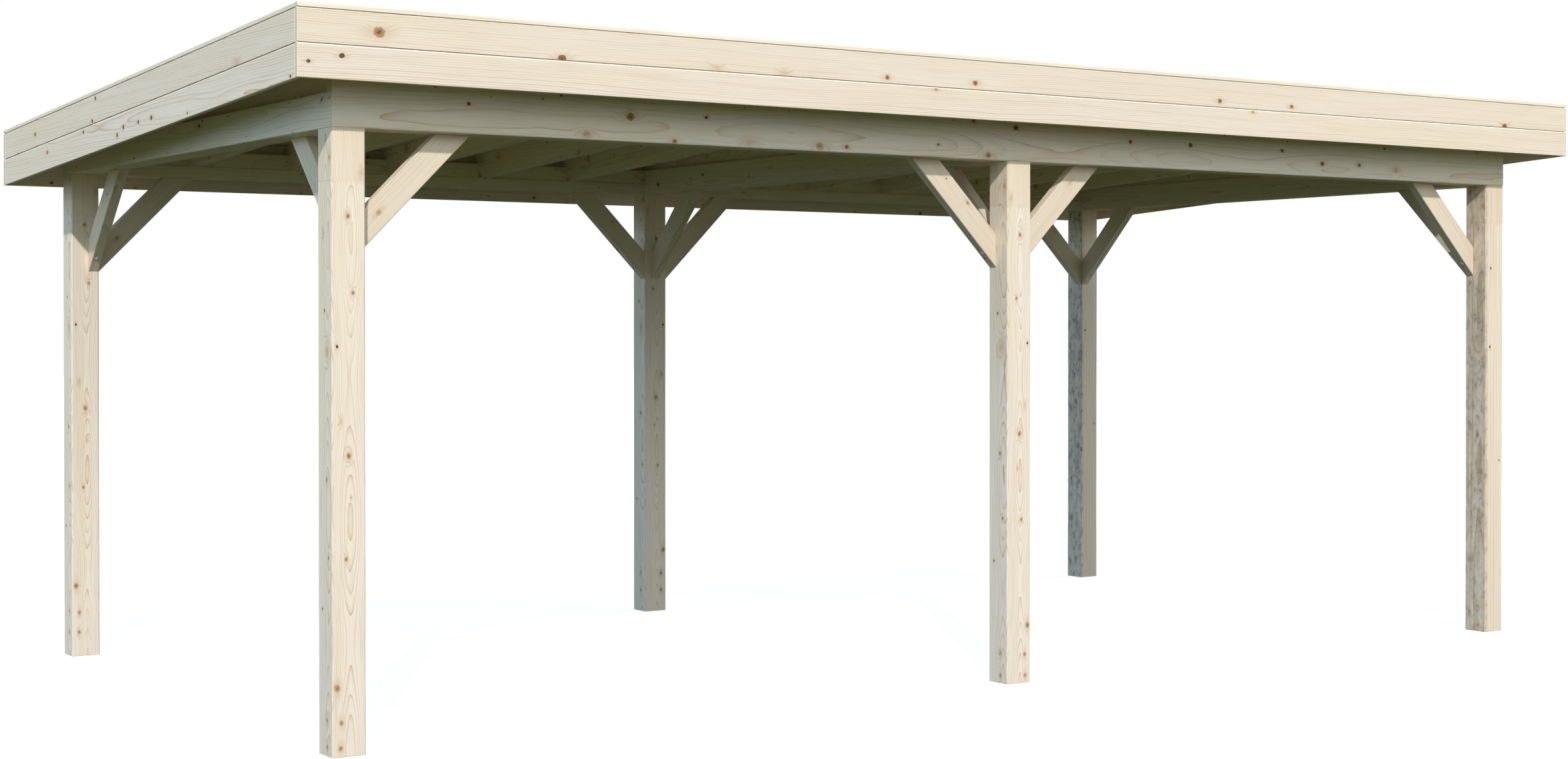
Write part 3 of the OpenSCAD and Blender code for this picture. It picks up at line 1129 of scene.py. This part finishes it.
floor_half = 60.0
floor_mesh = bpy.data.meshes.new("floor")
floor_corners = np.array([[-1, -1, 0], [1, -1, 0], [1, 1, 0], [-1, 1, 0]]) * floor_half
floor_mesh.from_pydata(floor_corners.tolist(), [], [[0, 1, 2, 3]])
floor = add_object("floor", floor_mesh)


def seen_ray(tree):
    """One for rays of the camera, gloss and transmission, which see the white ground and backdrop, and
    otherwise zero."""
    ray = wire(tree, "LightPath", {}).node.outputs
    seen = calc("MAXIMUM", ray["Is Camera Ray"], ray["Is Glossy Ray"])
    return calc("MAXIMUM", seen, ray["Is Transmission Ray"])


white = (1, 1, 1, 1)
floor_glow = 0.83
floor_pale = (0.36, 0.34, 0.32, 1)
near_bounce = (0.040, 0.048, 0.021, 1)
far_bounce = (0.155, 0.184, 0.079, 1)
bounce_reach = (3.5, 7.0)
floor_material = bpy.data.materials.new("pale_floor")
floor_material.use_nodes = True
floor_tree = floor_material.node_tree
floor_tree.nodes.clear()
glow = wire(floor_tree, "Emission", {"Color": white, "Strength": floor_glow})
pale = wire(floor_tree, "BsdfDiffuse", {"Color": floor_pale})
shown_floor = wire(floor_tree, "AddShader", {0: glow, 1: pale})
far_off = fade(length_of(wire(floor_tree, "TexCoord", {}, out="Object"), (1, 1, 0)), *bounce_reach)
bounce = wire(floor_tree, "BsdfDiffuse", {"Color": layer(near_bounce, far_bounce, far_off)})
floor_surface = wire(floor_tree, "MixShader", {0: seen_ray(floor_tree), 1: bounce, 2: shown_floor})
feed(floor_tree.nodes.new("ShaderNodeOutputMaterial"), {"Surface": floor_surface})
floor_mesh.materials.append(floor_material)

# The sky's colours on each side and overhead, and where one fades into the next
front_sky = (1.32, 1.44, 1.45, 1)
left_sky = (1.18, 1.68, 2.16, 1)
back_sky = (1.30, 1.30, 1.25, 1)
right_sky = (2.50, 2.80, 2.90, 1)
zenith_sky = (0.20, 0.24, 0.29, 1)
black = (0, 0, 0, 1)
front_to_left = (-0.9, -0.2)
left_to_back = (-0.1, 0.5)
right_edge = (0.3, 0.7)
front_edge = (-0.3, 0.0, 1.0, 0.0)
from_ground = (0.08, 0.22, 0.64, 1.0)
to_zenith = (0.30, 0.60)
world = bpy.data.worlds.new("soft_sky")
bpy.context.scene.world = world
world.use_nodes = True
sky_tree = world.node_tree
sky_tree.nodes.clear()
sky_way = axes_of(wire(sky_tree, "TexCoord", {}, out="Generated"))
sky_colour = layer(front_sky, left_sky, fade(sky_way["Y"], *front_to_left))
sky_colour = layer(sky_colour, back_sky, fade(sky_way["X"], *left_to_back))
front_right = times(fade(sky_way["X"], *right_edge), fade(sky_way["Y"], *front_edge))
sky_colour = layer(sky_colour, right_sky, front_right)
sky_colour = layer(black, sky_colour, fade(sky_way["Z"], *from_ground))
sky_colour = layer(sky_colour, zenith_sky, fade(sky_way["Z"], *to_zenith))
sky_light = wire(sky_tree, "Background", {"Color": sky_colour, "Strength": 1.0})
backdrop = wire(sky_tree, "Background", {"Color": white, "Strength": 1.0})
sky_surface = wire(sky_tree, "MixShader", {0: seen_ray(sky_tree), 1: sky_light, 2: backdrop})
feed(sky_tree.nodes.new("ShaderNodeOutputWorld"), {"Surface": sky_surface})


def add_sun(name, way, strength, colour, angle):
    """A sun lamp whose light travels along a direction."""
    lamp = bpy.data.lights.new(name, "SUN")
    lamp.energy = strength
    lamp.color = colour
    lamp.angle = angle
    way = np.array(way, float) / np.linalg.norm(way)
    holder = add_object(name, lamp)
    holder.rotation_euler = (np.arccos(-way[2]), 0, np.arctan2(way[1], way[0]) - np.pi / 2)


add_sun("front_sun", way=(0.587, 1.0, -0.74), strength=2.47, colour=(1.0, 0.97, 0.95), angle=0.02)
add_sun("back_fill", way=(-0.6, -1.0, -0.45), strength=0.7, colour=(1.0, 0.95, 0.88), angle=0.5)

camera_rise = 0.008684
camera_turn = 0.589147
camera_data = bpy.data.cameras.new("photo_camera")
camera_data.sensor_fit = "HORIZONTAL"
camera_data.sensor_width = 36.0
camera_data.lens = 53.556
camera_data.shift_x = -0.00168
camera_data.shift_y = -0.02138
camera = add_object("photo_camera", camera_data)
camera.location = (-5.9913, -8.7774, 1.4398)
camera.rotation_euler = (np.pi / 2 - camera_rise, 0, -camera_turn)
bpy.context.scene.camera = camera

bpy.context.scene.view_settings.view_transform = "Standard"
